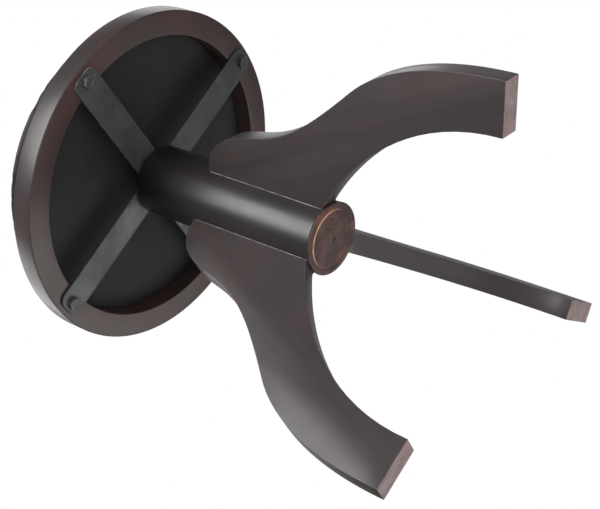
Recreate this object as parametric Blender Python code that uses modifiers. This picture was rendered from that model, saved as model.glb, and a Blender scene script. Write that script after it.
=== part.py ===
"""Round pedestal stool: a padded seat on a wooden ring, carried by two crossed
steel straps that turn on a through rod in a round post with three curved legs.

Units are metres. +Z is up, the soles stand on z = 0 and the middle of the
stool's bounding box is over the origin, so the post's axis lies a little way
towards -Y of it.
"""

from math import cos, pi, radians, sin, sqrt

import bmesh
import bpy
from mathutils import Matrix, Vector

# ---------------------------------------------------------------- dimensions
UNDERSIDE_HEIGHT = 0.4486      # floor to the underside of the seat ring

RING_DIAMETER = 0.380
RING_WIDTH = 0.0276            # radial width of the ring's flat underside
RING_THICKNESS = 0.0253
RING_EDGE = 0.0015             # rounding of the ring's edges

POST_DIAMETER = 0.0783
POST_EDGE = 0.0012
ROD_BORE_CLEARANCE = 0.0006    # around the rod, in every piece it passes

CAP_HEIGHT = 0.2000            # floor to the cap's face
CAP_OVERHANG = 0.00045         # the cap's rim, past the post's side
CAP_PLATE = 0.0032
CAP_RIM = 0.0012               # rounding of the cap's rim
CAP_GROOVE_INSET = 0.0068      # the groove, in from the cap's rim
CAP_GROOVE_WIDTH = 0.0012
CAP_GROOVE_DEPTH = 0.0008
CAP_SPIGOT = 0.0075            # length of the cap's plug inside the counterbore
COUNTERBORE_DIAMETER = 0.034
COUNTERBORE_DEPTH = 0.024

LEG_DIRECTIONS = (90.0, 210.0, 330.0)
LEG_THICKNESS = 0.0222
LEG_TOP_HEIGHT = 0.3589
LEG_FOOT_OUTER = 0.2238        # from the post's axis to the sole's outer edge
LEG_FOOT_WIDTH = 0.0546
LEG_EDGE = 0.0010
LEG_NECK = (0.290, 0.602)      # shares of the leg's reach and of its height on the post
LEG_NECK_LEAN = 10.8           # degrees from upright
LEG_WAIST = (0.725, 0.832)     # shares of the leg's reach and of its height under the post
LEG_WAIST_LEAN = 43.1
LEG_ARCH_LEAN = 60.0
LEG_ARCH_REACH = 0.045         # how far the inside keeps the arch's direction
LEG_CAP_CLEARANCE = 0.0012     # between the leg's inside and the cap's rim
SLOT_DEPTH = 0.0060            # how far a leg is let into the post

DOWEL_DIAMETER = 0.010
DOWEL_TO_BORE = 0.0075         # wood left between a dowel and the rod's bore
DOWEL_IN_LEG = 0.0180
DOWEL_END_CLEARANCE = 0.0005
DOWEL_FROM_TOP = 0.030         # upper dowel, below the leg's top
DOWEL_FROM_CAP = 0.048         # lower dowel, above the cap's face

STRAP_WIDTH = 0.0343
STRAP_THICKNESS = 0.0025
STRAP_INSET = 0.006            # a strap's end, in from the ring's outside
STRAP_CORNER = 0.012
STRAP_DIRECTION = 27.5         # the straight strap; the other is square to it
JOGGLE_START = 0.0225          # from the axis to the start of the joggle
JOGGLE_RUN = 0.0095            # length of the joggle's slope

ROD_DIAMETER = 0.010
ROD_NUT_FLATS = 0.017
ROD_NUT_HEIGHT = 0.0080
ROD_END = 0.0025               # rod showing past each nut
WASHER_DIAMETER = 0.0200
WASHER_THICKNESS = 0.0020
BUSH_WALL = 0.0020
BUSH_FLANGE_DIAMETER = 0.030
BUSH_FLANGE = 0.0015
THRUST_DIAMETER = 0.046
THRUST_THICKNESS = 0.0020
THRUST_PROUD = 0.0004          # thrust washer above the post's top face

SEAT_BOLT_DIAMETER = 0.008
SEAT_BOLT_FLATS = 0.013
SEAT_BOLT_HEAD = 0.0053
SEAT_BOLT_INSET = 0.016        # a seat bolt's axis, in from the ring's outside
SEAT_BOLT_END = 0.0018         # from the bolt's end to the board's top
BOLT_CLEARANCE = 0.0005        # around a bolt, in every piece it passes
TEE_NUT_BARREL = 0.0048
TEE_NUT_WALL = 0.0011
TEE_NUT_FLANGE_DIAMETER = 0.0125
TEE_NUT_FLANGE = 0.0014

BOARD_INSET = 0.0090           # the board's edge, in from the ring's outside
BOARD_THICKNESS = 0.0060
BASE_PANEL_THICKNESS = 0.0040
BASE_PANEL_INSET = 0.0006      # base panel's edge, in from the ring's inside
COVER_THICKNESS = 0.0012
COVER_LIP = 0.016              # cover turned in under the board
COVER_HOLE_MARGIN = 0.0016     # cut-out in the lip, past each seat bolt
FOAM_CROWN = 0.030             # foam's height over the board at the middle
CROWN_SOFTNESS = 1.3           # power of the dome's cosine: higher rounds its edge off more

GAP = 0.0003                   # between pieces that touch
OVERRUN = 0.010                # cutters reach this far past what they cut
TURN_STEPS = 80                # facets round the large turned pieces
POST_STEPS = 48
SOFT_STEPS = 56
SMALL_STEPS = 24
HOLE_STEPS = 16
THRUST_STEPS = 32
LIP_HOLE_STEPS = 12
QUARTER_ROUND = 0.5523         # handle of a quarter circle, over its radius

# ------------------------------------------------------------ derived places
ring_radius = RING_DIAMETER / 2
ring_inner = ring_radius - RING_WIDTH
ring_top = UNDERSIDE_HEIGHT + RING_THICKNESS
post_radius = POST_DIAMETER / 2
rod_radius = ROD_DIAMETER / 2
bore_radius = rod_radius + ROD_BORE_CLEARANCE
cap_radius = post_radius + CAP_OVERHANG

upper_strap_low = UNDERSIDE_HEIGHT - GAP - STRAP_THICKNESS
lower_strap_low = upper_strap_low - GAP - STRAP_THICKNESS
thrust_top = lower_strap_low - GAP
post_top = thrust_top - THRUST_PROUD
thrust_low = thrust_top - THRUST_THICKNESS
post_low = CAP_HEIGHT + CAP_PLATE + GAP
counterbore_top = post_low + COUNTERBORE_DEPTH

lower_washer_low = counterbore_top - GAP - WASHER_THICKNESS
lower_nut_low = lower_washer_low - GAP - ROD_NUT_HEIGHT
bush_flange_low = upper_strap_low + STRAP_THICKNESS + GAP
upper_washer_low = bush_flange_low + BUSH_FLANGE + GAP
lock_nut_low = upper_washer_low + WASHER_THICKNESS + GAP
rod_low = lower_nut_low - ROD_END
rod_top = lock_nut_low + ROD_NUT_HEIGHT + ROD_END

cover_lip_low = ring_top + GAP
board_low = cover_lip_low + COVER_THICKNESS + GAP
board_top = board_low + BOARD_THICKNESS
board_radius = ring_radius - BOARD_INSET
foam_low = board_top + GAP
cover_inner = board_radius + GAP
cover_outer = cover_inner + COVER_THICKNESS
seat_bolt_radius = ring_radius - SEAT_BOLT_INSET
strap_half = ring_radius - STRAP_INSET

# the leg meets the post's round side along this chord
leg_chord = sqrt(post_radius ** 2 - (LEG_THICKNESS / 2) ** 2)
slot_bottom = leg_chord - SLOT_DEPTH
dowel_start = bore_radius + DOWEL_TO_BORE
leg_low = CAP_HEIGHT + CAP_PLATE + 2 * GAP
foot_inner = LEG_FOOT_OUTER - LEG_FOOT_WIDTH

# the box's middle in Y: the back leg reaches past the seat, the front does not
post_y = -(LEG_FOOT_OUTER - ring_radius) / 2

# ------------------------------------------------------------------- helpers
for old in list(bpy.data.objects):
    bpy.data.objects.remove(old, do_unlink=True)


def collection(name):
    made = bpy.data.collections.new(name)
    bpy.context.scene.collection.children.link(made)
    return made


parts = collection("pedestal_stool")
cutters = collection("cutters")

stool = bpy.data.objects.new("stool_axis", None)
stool.location = (0, post_y, 0)
parts.objects.link(stool)

seat_pivot = bpy.data.objects.new("seat_pivot", None)
seat_pivot.parent = stool
seat_pivot.location = (0, 0, thrust_top)
parts.objects.link(seat_pivot)


def material(name, color, roughness, metallic=0.0):
    made = bpy.data.materials.new(name)
    made.use_nodes = True
    shader = made.node_tree.nodes["Principled BSDF"]
    shader.inputs["Base Color"].default_value = (*color, 1)
    shader.inputs["Roughness"].default_value = roughness
    shader.inputs["Metallic"].default_value = metallic
    return made


def add_mesh(name, bm, home=parts):
    """A new object from a bmesh, which is freed."""
    mesh = bpy.data.meshes.new(name)
    bm.to_mesh(mesh)
    bm.free()
    made = bpy.data.objects.new(name, mesh)
    home.objects.link(made)
    return made


def turned(name, profile, steps, home=parts, closed=False):
    """A profile of (radius, height), outer side top to bottom, spun about Z."""
    bm = bmesh.new()
    points = [bm.verts.new((radius, 0, height)) for radius, height in profile]
    ends = points[1:] + points[:1] if closed else points[1:]
    for one, two in zip(points, ends):
        bm.edges.new((one, two))
    made = add_mesh(name, bm, home)
    screw = made.modifiers.new("turn", "SCREW")
    screw.steps = screw.render_steps = steps
    screw.use_merge_vertices = True
    screw.merge_threshold = 0.00002
    screw.use_smooth_shade = False
    return made


def rounded(radius, height, size, start, steps):
    """A quarter round of a turned profile, its centre at (radius, height)."""
    turns = [radians(start - 90 * i / steps) for i in range(steps + 1)]
    return [(radius + size * cos(a), height + size * sin(a)) for a in turns]


def baked(item):
    """Replaces the object's mesh with what its modifiers make, welded."""
    graph = bpy.context.evaluated_depsgraph_get()
    mesh = bpy.data.meshes.new_from_object(item.evaluated_get(graph))
    bm = bmesh.new()
    bm.from_mesh(mesh)
    bmesh.ops.remove_doubles(bm, verts=bm.verts, dist=0.00001)
    bm.to_mesh(mesh)
    bm.free()
    name, home = item.name, item.users_collection[0]
    matrix = item.matrix_world.copy()
    bpy.data.objects.remove(item, do_unlink=True)
    made = bpy.data.objects.new(name, mesh)
    made.matrix_world = matrix
    home.objects.link(made)
    return made


def outline(name, splines, thickness, home=parts):
    """A flat 2D curve outline with rounded stretches, as a welded solid.

    A spline is a list of (point, handle before, handle after); a handle of
    None leaves that side straight.
    """
    curve = bpy.data.curves.new(name, "CURVE")
    curve.dimensions = "2D"
    curve.fill_mode = "BOTH"
    curve.extrude = thickness / 2
    curve.resolution_u = 8
    for points in splines:
        spline = curve.splines.new("BEZIER")
        spline.bezier_points.add(len(points) - 1)
        spline.use_cyclic_u = True
        for i, (place, before, after) in enumerate(points):
            knot = spline.bezier_points[i]
            knot.co = (*place, 0)
            knot.handle_left_type = "FREE" if before else "VECTOR"
            knot.handle_right_type = "FREE" if after else "VECTOR"
            if before:
                knot.handle_left = (*before, 0)
            if after:
                knot.handle_right = (*after, 0)
    made = bpy.data.objects.new(name, curve)
    home.objects.link(made)
    bpy.context.view_layer.update()
    made = baked(made)
    bm = bmesh.new()
    bm.from_mesh(made.data)
    bmesh.ops.dissolve_limit(
        bm, angle_limit=radians(0.5), verts=bm.verts, edges=bm.edges
    )
    bmesh.ops.recalc_face_normals(bm, faces=bm.faces)
    bm.to_mesh(made.data)
    bm.free()
    return made


def cylinder(name, radius, low, high, steps, home=parts, turn=0.0):
    bm = bmesh.new()
    place = Matrix.Translation((0, 0, (low + high) / 2)) @ Matrix.Rotation(turn, 4, "Z")
    bmesh.ops.create_cone(
        bm, cap_ends=True, segments=steps, radius1=radius, radius2=radius,
        depth=high - low, matrix=place,
    )
    return add_mesh(name, bm, home)


def block(name, size, centre, home=parts):
    bm = bmesh.new()
    bmesh.ops.create_cube(bm, size=1.0)
    bmesh.ops.scale(bm, vec=size, verts=bm.verts)
    bmesh.ops.translate(bm, vec=centre, verts=bm.verts)
    return add_mesh(name, bm, home)


def cut(item, cutter, operation="DIFFERENCE"):
    """A live Boolean whose cutter is kept out of the build."""
    cutter.hide_render = True
    cutter.display_type = "WIRE"
    boolean = item.modifiers.new("cut", "BOOLEAN")
    boolean.operation = operation
    boolean.solver = "EXACT"
    boolean.object = cutter


def ease(item, width, angle=50, segments=2):
    bevel = item.modifiers.new("edges", "BEVEL")
    bevel.width = width
    bevel.segments = segments
    bevel.limit_method = "ANGLE"
    bevel.angle_limit = radians(angle)
    bevel.use_clamp_overlap = True


def finish(item, look, parent=stool, smooth=35):
    """Gives a sub-part its material, its shading and its parent."""
    item.data.materials.clear()
    item.data.materials.append(look)
    item.data.shade_smooth()
    item.data.set_sharp_from_angle(angle=radians(smooth))
    item.parent = parent
    if parent is seat_pivot:
        item.location.z -= thrust_top
    return item


def cutter_on(item, parent):
    """A cutter follows the same parent as the piece it cuts."""
    item.parent = parent
    if parent is seat_pivot:
        item.location.z -= thrust_top
    return item


def around(radius, count, first):
    """Places on a circle, with the direction of each in radians."""
    for i in range(count):
        turn = radians(first) + 2 * pi * i / count
        yield Vector((radius * cos(turn), radius * sin(turn), 0)), turn


# ----------------------------------------------------------------- materials
dark_wood = material("dark_wood", (0.058, 0.045, 0.045), 0.33)
end_grain = material("end_grain", (0.118, 0.062, 0.056), 0.45)
beech = material("beech", (0.52, 0.36, 0.21), 0.6)
plywood = material("plywood", (0.50, 0.37, 0.23), 0.65)
black_steel = material("black_steel", (0.055, 0.058, 0.060), 0.42, 0.6)
zinc_steel = material("zinc_steel", (0.50, 0.50, 0.49), 0.35, 0.9)
nylon = material("nylon", (0.72, 0.71, 0.67), 0.5)
black_panel = material("black_panel", (0.018, 0.018, 0.019), 0.85)
foam_look = material("foam", (0.70, 0.66, 0.50), 0.9)
vinyl = material("vinyl", (0.022, 0.021, 0.022), 0.5)


# ---------------------------------------------------------------- the post
def make_post():
    recess = THRUST_DIAMETER / 2 + GAP
    low = post_low
    corner = POST_EDGE
    profile = [
        (bore_radius, thrust_low - GAP),
        (recess, thrust_low - GAP),
        (recess, post_top),
        *rounded(post_radius - corner, post_top - corner, corner, 90, 2),
        (post_radius, low),
        (COUNTERBORE_DIAMETER / 2, low),
        (COUNTERBORE_DIAMETER / 2, counterbore_top),
        (bore_radius, counterbore_top),
    ]
    post = turned("post", profile, POST_STEPS, closed=True)
    for i, direction in enumerate(LEG_DIRECTIONS):
        turn = radians(direction)
        slot = block(
            f"leg_slot_{i + 1}",
            (post_radius, LEG_THICKNESS + 2 * GAP, LEG_TOP_HEIGHT + GAP - low + OVERRUN),
            (slot_bottom - GAP + post_radius / 2, 0, (LEG_TOP_HEIGHT + GAP + low - OVERRUN) / 2),
            cutters,
        )
        slot.rotation_euler.z = turn
        cut(post, cutter_on(slot, stool))
        for j, height in enumerate(dowel_heights):
            start = dowel_start - DOWEL_END_CLEARANCE
            hole = dowel_hole(f"post_dowel_hole_{i + 1}{j + 1}", start, slot_bottom, height)
            hole.rotation_euler.z = turn
            cut(post, cutter_on(hole, stool))
    return finish(post, dark_wood)


dowel_heights = (CAP_HEIGHT + DOWEL_FROM_CAP, LEG_TOP_HEIGHT - DOWEL_FROM_TOP)


def across(name, radius, start, end, height, steps, home=parts):
    """A cylinder that lies along +X at a height."""
    bm = bmesh.new()
    place = (
        Matrix.Translation(((start + end) / 2, 0, height))
        @ Matrix.Rotation(pi / 2, 4, "Y")
        @ Matrix.Rotation(pi / steps, 4, "Z")
    )
    bmesh.ops.create_cone(
        bm, cap_ends=True, segments=steps, radius1=radius, radius2=radius,
        depth=end - start, matrix=place,
    )
    return add_mesh(name, bm, home)


def dowel_hole(name, start, end, height):
    """A dowel's hole; its facets stay outside the dowel's round."""
    radius = (DOWEL_DIAMETER / 2 + GAP) / cos(pi / HOLE_STEPS)
    return across(name, radius, start, end + GAP, height, HOLE_STEPS, cutters)


def make_cap():
    radius = cap_radius
    top = CAP_HEIGHT + CAP_PLATE
    groove = radius - CAP_GROOVE_INSET
    spigot = COUNTERBORE_DIAMETER / 2 - GAP
    profile = [
        (0, top + CAP_SPIGOT),
        (spigot, top + CAP_SPIGOT),
        (spigot, top),
        *rounded(radius - CAP_RIM, top - CAP_RIM, CAP_RIM, 90, 2),
        *rounded(radius - CAP_RIM, CAP_HEIGHT + CAP_RIM, CAP_RIM, 0, 2),
        (groove + CAP_GROOVE_WIDTH / 2, CAP_HEIGHT),
        (groove, CAP_HEIGHT + CAP_GROOVE_DEPTH),
        (groove - CAP_GROOVE_WIDTH / 2, CAP_HEIGHT),
        (0, CAP_HEIGHT),
    ]
    return finish(turned("post_cap", profile, POST_STEPS), end_grain)


# ---------------------------------------------------------------- the legs
def leg_outline():
    """The S-curved plank, radius across and height up."""
    def away(place, degrees, reach):
        return (place[0] + reach * sin(radians(degrees)), place[1] - reach * cos(radians(degrees)))

    height, foot = LEG_TOP_HEIGHT - leg_low, LEG_FOOT_OUTER - leg_chord
    top = (leg_chord, LEG_TOP_HEIGHT)
    neck = (leg_chord + LEG_NECK[0] * foot, leg_low + LEG_NECK[1] * height)
    waist = (leg_chord + LEG_WAIST[0] * foot, leg_low * LEG_WAIST[1])
    toe = (LEG_FOOT_OUTER, 0.0)
    heel = (foot_inner, 0.0)
    arch = (cap_radius + LEG_CAP_CLEARANCE, leg_low)
    return [
        ((slot_bottom, LEG_TOP_HEIGHT), None, None),
        (top, None, away(top, 90, 0.200 * foot)),
        (neck, away(neck, LEG_NECK_LEAN, -0.193 * height),
         away(neck, LEG_NECK_LEAN, 0.282 * height)),
        (waist, away(waist, LEG_WAIST_LEAN, -0.386 * leg_low),
         away(waist, LEG_WAIST_LEAN, 0.273 * leg_low)),
        (toe, (toe[0], 0.313 * leg_low), None),
        (heel, None, (heel[0], 0.560 * leg_low)),
        (arch, away(arch, LEG_ARCH_LEAN, LEG_ARCH_REACH), None),
        ((slot_bottom, leg_low), None, None),
    ]


def make_leg(name, direction):
    leg = outline(name, [leg_outline()], LEG_THICKNESS)
    leg.data.transform(Matrix.Rotation(pi / 2, 4, "X"))
    ease(leg, LEG_EDGE, 60)
    leg.rotation_euler.z = radians(direction)
    for i, height in enumerate(dowel_heights):
        end = slot_bottom + DOWEL_IN_LEG + DOWEL_END_CLEARANCE
        hole = dowel_hole(f"{name}_dowel_hole_{i + 1}", slot_bottom - GAP, end, height)
        hole.rotation_euler.z = radians(direction)
        cut(leg, cutter_on(hole, stool))
    return finish(leg, dark_wood)


def make_dowels(leg_name, direction):
    for level, height in zip(("lower", "upper"), dowel_heights):
        dowel = across(
            f"{leg_name}_dowel_{level}", DOWEL_DIAMETER / 2, dowel_start,
            slot_bottom + DOWEL_IN_LEG, height, HOLE_STEPS,
        )
        dowel.rotation_euler.z = radians(direction)
        finish(dowel, beech)


# ----------------------------------------------------- the rod and its fits
def ring_profile(inner, outer, low, high):
    return [(inner, high), (outer, high), (outer, low), (inner, low)]


def make_nut(name, low, look):
    corner = ROD_NUT_FLATS / 2 / cos(pi / 6)
    nut = cylinder(name, corner, low, low + ROD_NUT_HEIGHT, 6)
    hole = cylinder(
        f"{name}_hole", (rod_radius + GAP) / cos(pi / HOLE_STEPS),
        low - OVERRUN, low + ROD_NUT_HEIGHT + OVERRUN, HOLE_STEPS, cutters,
    )
    cut(nut, cutter_on(hole, stool))
    return finish(nut, look)


def make_rod():
    rod = cylinder("tie_rod", rod_radius, rod_low, rod_top, HOLE_STEPS)
    ease(rod, 0.0008, 60, 1)
    finish(rod, zinc_steel)
    hole = rod_radius + GAP
    washer = WASHER_DIAMETER / 2
    for name, low in (("lower_washer", lower_washer_low), ("upper_washer", upper_washer_low)):
        profile = ring_profile(hole, washer, low, low + WASHER_THICKNESS)
        finish(turned(name, profile, SMALL_STEPS, closed=True), zinc_steel)
    make_nut("lower_nut", lower_nut_low, zinc_steel)
    make_nut("lock_nut", lock_nut_low, zinc_steel)
    profile = ring_profile(hole, THRUST_DIAMETER / 2, thrust_low, thrust_top)
    finish(turned("thrust_washer", profile, THRUST_STEPS, closed=True), nylon)
    sleeve = hole + BUSH_WALL
    flange = BUSH_FLANGE_DIAMETER / 2
    profile = [
        (hole, bush_flange_low + BUSH_FLANGE),
        (flange, bush_flange_low + BUSH_FLANGE),
        (flange, bush_flange_low),
        (sleeve, bush_flange_low),
        (sleeve, lower_strap_low),
        (hole, lower_strap_low),
    ]
    finish(turned("pivot_bush", profile, SMALL_STEPS, closed=True), nylon)


# --------------------------------------------------------------- the straps
def strap_plan(name, home):
    """The strap seen from above: square sides and rounded corners."""
    half, side, corner = strap_half, STRAP_WIDTH / 2, STRAP_CORNER
    reach = corner * QUARTER_ROUND
    points = []
    for x_sign, y_sign in ((1, -1), (1, 1), (-1, 1), (-1, -1)):
        x, y = x_sign * half, y_sign * side
        along = (x - x_sign * corner, y)
        across_end = (x, y - y_sign * corner)
        first, last = (along, across_end) if x_sign * y_sign < 0 else (across_end, along)
        towards_first = (first[0] + reach * (x - first[0]) / corner,
                         first[1] + reach * (y - first[1]) / corner)
        towards_last = (last[0] + reach * (x - last[0]) / corner,
                        last[1] + reach * (y - last[1]) / corner)
        points.append((first, None, towards_first))
        points.append((last, towards_last, None))
    return outline(name, [points], STRAP_THICKNESS * 8, home)


def strap_holes(strap, direction):
    turn = radians(direction)
    for i, sign in enumerate((-1, 1)):
        hole = cylinder(
            f"{strap.name}_bolt_hole_{i + 1}",
            (SEAT_BOLT_DIAMETER / 2 + BOLT_CLEARANCE) / cos(pi / HOLE_STEPS),
            lower_strap_low - OVERRUN, UNDERSIDE_HEIGHT + OVERRUN, HOLE_STEPS, cutters,
        )
        hole.location = (sign * seat_bolt_radius * cos(turn), sign * seat_bolt_radius * sin(turn), 0)
        cut(strap, cutter_on(hole, seat_pivot))
    pivot = cylinder(
        f"{strap.name}_pivot_hole",
        (rod_radius + BUSH_WALL + 3 * GAP) / cos(pi / SMALL_STEPS),
        lower_strap_low - OVERRUN, UNDERSIDE_HEIGHT + OVERRUN, SMALL_STEPS, cutters,
    )
    cut(strap, cutter_on(pivot, seat_pivot))


def strap_band(name, heights):
    """The strap from the side: (distance from the axis, lower face) points."""
    bm = bmesh.new()
    half = [*heights, (strap_half + OVERRUN, heights[-1][1])]
    line = [(-x, z) for x, z in reversed(half)] + half
    lower = [bm.verts.new((x, -STRAP_WIDTH, z)) for x, z in line]
    upper = [bm.verts.new((x, -STRAP_WIDTH, z + STRAP_THICKNESS)) for x, z in line]
    face = bm.faces.new(lower + upper[::-1])
    swept = bmesh.ops.extrude_face_region(bm, geom=[face])
    moved = [v for v in swept["geom"] if isinstance(v, bmesh.types.BMVert)]
    bmesh.ops.translate(bm, vec=(0, 2 * STRAP_WIDTH, 0), verts=moved)
    bmesh.ops.recalc_face_normals(bm, faces=bm.faces)
    return add_mesh(name, bm)


def make_strap(name, direction, heights):
    strap = strap_band(name, heights)
    plan = strap_plan(f"{name}_plan", cutters)
    plan.location.z = UNDERSIDE_HEIGHT - STRAP_THICKNESS
    for item in (strap, plan):
        item.rotation_euler.z = radians(direction)
    cut(strap, cutter_on(plan, seat_pivot), "INTERSECT")
    strap_holes(strap, direction)
    return finish(strap, black_steel, seat_pivot)


# ----------------------------------------------------------------- the seat
def make_ring():
    edge = RING_EDGE
    low, high = UNDERSIDE_HEIGHT, ring_top
    profile = [
        *rounded(ring_radius - edge, high - edge, edge, 90, 2),
        *rounded(ring_radius - edge, low + edge, edge, 0, 2),
        (ring_inner + edge / 2, low),
        (ring_inner, low + edge / 2),
        (ring_inner, high),
    ]
    ring = turned("seat_ring", profile, TURN_STEPS, closed=True)
    drill_seat(ring, SEAT_BOLT_DIAMETER / 2 + BOLT_CLEARANCE, low - OVERRUN, high + OVERRUN)
    return finish(ring, dark_wood, seat_pivot)


def drill_seat(item, radius, low, high, steps=HOLE_STEPS):
    """The four seat bolts' holes, through one piece of the seat."""
    for i, (place, _) in enumerate(around(seat_bolt_radius, 4, STRAP_DIRECTION)):
        hole = cylinder(
            f"{item.name}_hole_{int(radius * 1e5)}_{i + 1}", radius / cos(pi / steps),
            low, high, steps, cutters,
        )
        hole.location = place
        cut(item, cutter_on(hole, seat_pivot))


def make_board():
    profile = [(0, board_top), (board_radius, board_top), (board_radius, board_low), (0, board_low)]
    board = turned("seat_board", profile, SOFT_STEPS)
    barrel = SEAT_BOLT_DIAMETER / 2 + BOLT_CLEARANCE + TEE_NUT_WALL + GAP
    drill_seat(board, barrel, board_low - OVERRUN, board_top + OVERRUN)
    flange = TEE_NUT_FLANGE_DIAMETER / 2 + GAP
    drill_seat(board, flange, board_top - TEE_NUT_FLANGE - 2 * GAP, board_top + OVERRUN)
    return finish(board, plywood, seat_pivot)


def make_seat_bolts():
    head_top = upper_strap_low - GAP
    end = board_top - SEAT_BOLT_END
    corner = SEAT_BOLT_FLATS / 2 / cos(pi / 6)
    for i, (place, turn) in enumerate(around(seat_bolt_radius, 4, STRAP_DIRECTION)):
        name = f"seat_bolt_{i + 1}"
        bolt = cylinder(name, corner, head_top - SEAT_BOLT_HEAD, head_top, 6, turn=turn)
        shank = cylinder(
            f"{name}_shank", SEAT_BOLT_DIAMETER / 2, head_top - GAP, end, HOLE_STEPS, cutters
        )
        for item in (bolt, shank):
            item.location = place
        cut(bolt, cutter_on(shank, seat_pivot), "UNION")
        finish(bolt, black_steel, seat_pivot)


def make_tee_nuts():
    inner = SEAT_BOLT_DIAMETER / 2 + BOLT_CLEARANCE
    barrel = inner + TEE_NUT_WALL
    flange = TEE_NUT_FLANGE_DIAMETER / 2
    high = board_top - GAP
    profile = [
        (inner, high),
        (flange, high),
        (flange, high - TEE_NUT_FLANGE),
        (barrel, high - TEE_NUT_FLANGE),
        (barrel, high - TEE_NUT_BARREL),
        (inner, high - TEE_NUT_BARREL),
    ]
    for i, (place, _) in enumerate(around(seat_bolt_radius, 4, STRAP_DIRECTION)):
        nut = turned(f"tee_nut_{i + 1}", profile, HOLE_STEPS, closed=True)
        nut.location = place
        finish(nut, zinc_steel, seat_pivot)


def make_base_panel():
    radius = ring_inner - BASE_PANEL_INSET
    high = board_low - GAP
    low = high - BASE_PANEL_THICKNESS
    profile = [(0, high), (radius, high), (radius, low), (0, low)]
    return finish(turned("base_panel", profile, TURN_STEPS), black_panel, seat_pivot)


def crown(radius, rise, low, steps=6):
    """A cushion's domed top from its edge to the middle, as a superellipse."""
    points = []
    for i in range(steps + 1):
        turn = pi / 2 * i / steps
        points.append((radius * cos(turn) ** CROWN_SOFTNESS, low + rise * sin(turn)))
    return points[::-1]


def make_foam():
    radius = board_radius - GAP
    profile = [*crown(radius, FOAM_CROWN, foam_low), (0, foam_low)]
    return finish(turned("seat_foam", profile, SOFT_STEPS), foam_look, seat_pivot)


def make_cover():
    rise = FOAM_CROWN + GAP
    outside = crown(cover_outer, rise + COVER_THICKNESS, foam_low)
    inside = crown(cover_inner, rise, foam_low)
    lip = board_radius - COVER_LIP
    profile = [
        *outside,
        (cover_outer, cover_lip_low),
        (lip, cover_lip_low),
        (lip, cover_lip_low + COVER_THICKNESS),
        (cover_inner, cover_lip_low + COVER_THICKNESS),
        *inside[::-1],
    ]
    cover = turned("seat_cover", profile, SOFT_STEPS)
    radius = SEAT_BOLT_DIAMETER / 2 + BOLT_CLEARANCE + COVER_HOLE_MARGIN
    high = cover_lip_low + COVER_THICKNESS + GAP
    drill_seat(cover, radius, cover_lip_low - OVERRUN, high, LIP_HOLE_STEPS)
    return finish(cover, vinyl, seat_pivot)


# ---------------------------------------------------------------- the stool
make_post()
make_cap()
for leg_name, leg_direction in zip(("leg_back", "leg_left", "leg_right"), LEG_DIRECTIONS):
    make_leg(leg_name, leg_direction)
    make_dowels(leg_name, leg_direction)
make_rod()

make_strap("strap_straight", STRAP_DIRECTION, [(0.0001, upper_strap_low)])
make_strap(
    "strap_joggled",
    STRAP_DIRECTION + 90,
    [(JOGGLE_START, lower_strap_low), (JOGGLE_START + JOGGLE_RUN, upper_strap_low)],
)

make_ring()
make_board()
make_seat_bolts()
make_tee_nuts()
make_base_panel()
make_foam()
make_cover()
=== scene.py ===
import random
from math import atan2, cos, degrees, exp, hypot, pi, radians, sin, sqrt, tan, tau

import bmesh
import bpy
from mathutils import Euler, Matrix, Vector, noise


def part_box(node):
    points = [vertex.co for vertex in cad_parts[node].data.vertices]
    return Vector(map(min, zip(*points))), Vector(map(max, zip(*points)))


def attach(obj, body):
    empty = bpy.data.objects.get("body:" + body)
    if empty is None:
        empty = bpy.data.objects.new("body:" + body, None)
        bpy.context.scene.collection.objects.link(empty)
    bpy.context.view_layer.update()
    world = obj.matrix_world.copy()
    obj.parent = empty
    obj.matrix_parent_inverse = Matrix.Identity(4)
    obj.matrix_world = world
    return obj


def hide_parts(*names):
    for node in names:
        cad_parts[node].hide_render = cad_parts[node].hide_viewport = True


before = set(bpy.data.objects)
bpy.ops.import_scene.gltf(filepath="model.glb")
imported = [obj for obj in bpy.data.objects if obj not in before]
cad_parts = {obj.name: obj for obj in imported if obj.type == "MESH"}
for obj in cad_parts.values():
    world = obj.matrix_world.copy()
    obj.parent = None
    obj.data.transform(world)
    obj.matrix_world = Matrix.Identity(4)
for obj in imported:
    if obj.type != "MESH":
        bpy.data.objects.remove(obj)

scene = bpy.context.scene
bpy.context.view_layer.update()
print("frame: loaded", len(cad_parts), "nodes")

# places, all from the frame
ringLow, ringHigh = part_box("seat_ring")
postLow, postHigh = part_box("post")
capLow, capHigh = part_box("post_cap")
legLow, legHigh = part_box("leg_back")
panelLow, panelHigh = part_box("base_panel")
coverLow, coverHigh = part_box("seat_cover")
boardLow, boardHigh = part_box("seat_board")
strapLow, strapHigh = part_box("strap_straight")
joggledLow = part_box("strap_joggled")[0]
axisY = (postLow.y + postHigh.y) / 2
axis = Vector((0, axisY, 0))
ringRadius = (ringHigh.x - ringLow.x) / 2
postRadius = (postHigh.x - postLow.x) / 2
capRadius = (capHigh.x - capLow.x) / 2
legThickness = legHigh.x - legLow.x


# node helpers
def nodeGroup(name, inputs, outputs):
    group = bpy.data.node_groups.new(name, "ShaderNodeTree")
    kinds = {"c": "NodeSocketColor", "f": "NodeSocketFloat", "v": "NodeSocketVector"}
    for label, kind, value in inputs:
        socket = group.interface.new_socket(label, in_out="INPUT", socket_type=kinds[kind])
        if value is not None:
            socket.default_value = value
    for label, kind in outputs:
        group.interface.new_socket(label, in_out="OUTPUT", socket_type=kinds[kind])
    start = group.nodes.new("NodeGroupInput")
    end = group.nodes.new("NodeGroupOutput")
    return group, start, end


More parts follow.
